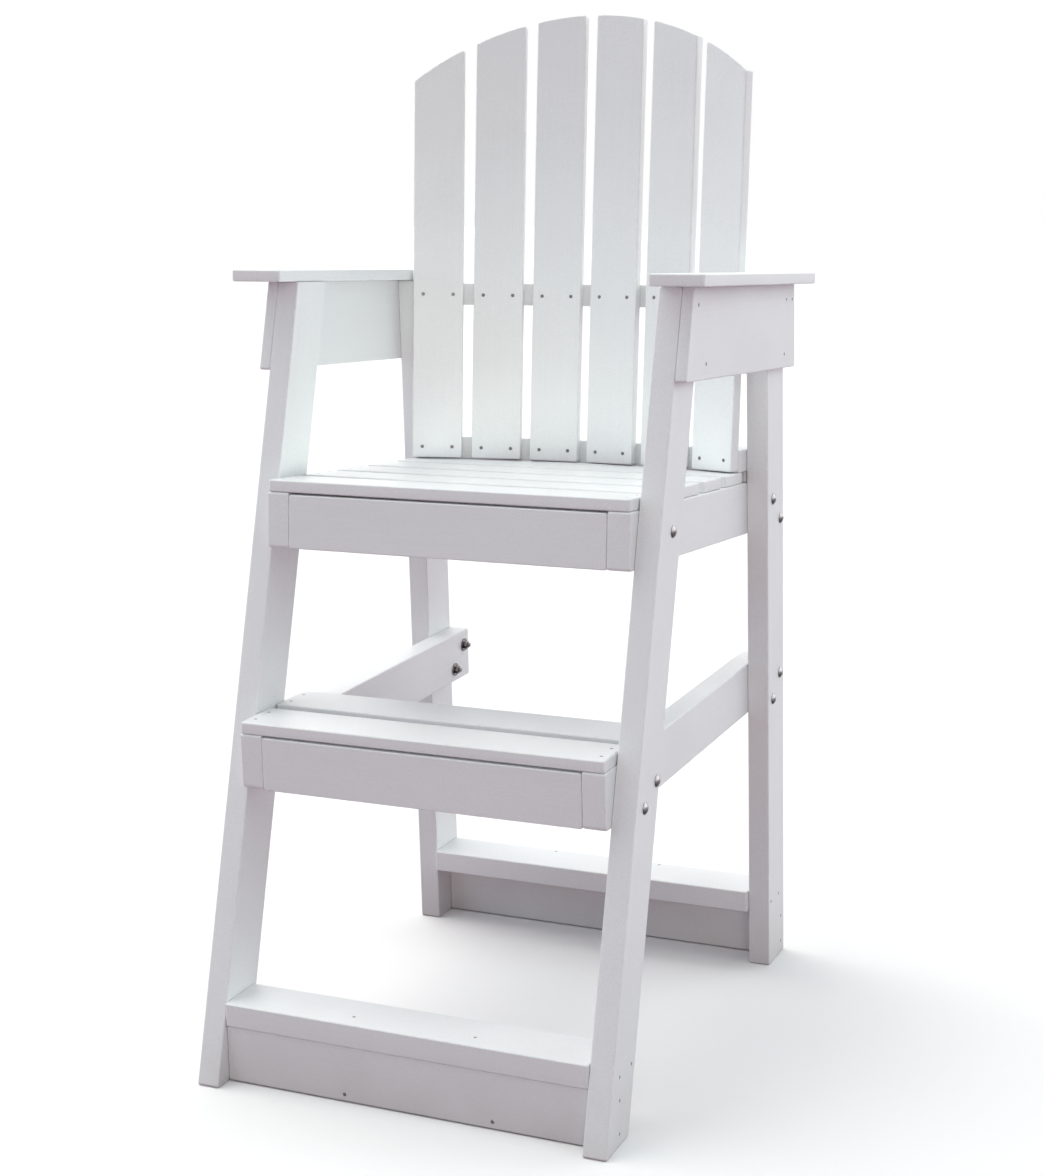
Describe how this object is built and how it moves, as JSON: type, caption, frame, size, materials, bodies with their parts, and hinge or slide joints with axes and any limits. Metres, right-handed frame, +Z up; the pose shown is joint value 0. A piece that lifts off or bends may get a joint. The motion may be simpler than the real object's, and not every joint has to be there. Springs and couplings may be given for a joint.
{
  "type": "lifeguard chair",
  "caption": "Tall raked chair of white planks with arms, slatted arched back, sloping seat, footrest and low front step, bolted and screwed together.",
  "frame": {"origin": "on the floor, in the middle of the space that the chair takes", "axes": "+X to the side that is the sitter's left, +Y from the front to the rear, +Z up"},
  "size_m": [0.8016, 0.8752, 1.6681],
  "materials": {
    "white_plank": "satin, fine pebbled grain, planks with eased edges",
    "steel": "bright, plain"
  },
  "bodies": {
    "root": {"arm_left": "white_plank", "arm_right": "white_plank", "back_slat_1": "white_plank", "back_slat_2": "white_plank", "back_slat_3": "white_plank", "back_slat_4": "white_plank", "back_slat_5": "white_plank", "back_slat_6": "white_plank", "base_shelf_riser": "white_plank", "base_shelf_tread": "white_plank", "bolt_footrest_front_left_1": "steel", "bolt_footrest_front_left_2": "steel", "bolt_footrest_front_right_1": "steel", "bolt_footrest_front_right_2": "steel", "bolt_footrest_rear_left_1": "steel", "bolt_footrest_rear_left_2": "steel", "bolt_footrest_rear_right_1": "steel", "bolt_footrest_rear_right_2": "steel", "bolt_seat_front_left_1": "steel", "bolt_seat_front_right_1": "steel", "bolt_seat_rear_left_1": "steel", "bolt_seat_rear_left_2": "steel", "bolt_seat_rear_right_1": "steel", "bolt_seat_rear_right_2": "steel", "cross_rail_lower": "white_plank", "cross_rail_upper": "white_plank", "footrest_apron": "white_plank", "footrest_board_1": "white_plank", "footrest_board_2": "white_plank", "footrest_rail_left": "white_plank", "footrest_rail_right": "white_plank", "front_leg_left": "white_plank", "front_leg_right": "white_plank", "rear_leg_left": "white_plank", "rear_leg_right": "white_plank", "seat_apron": "white_plank", "seat_board_1": "white_plank", "seat_board_2": "white_plank", "seat_board_3": "white_plank", "seat_board_4": "white_plank", "seat_board_5": "white_plank", "seat_board_6": "white_plank", "seat_rail_left": "white_plank", "seat_rail_right": "white_plank", "side_panel_left": "white_plank", "side_panel_right": "white_plank", "step_riser": "white_plank", "step_tread": "white_plank"}
  },
  "joints": []
}
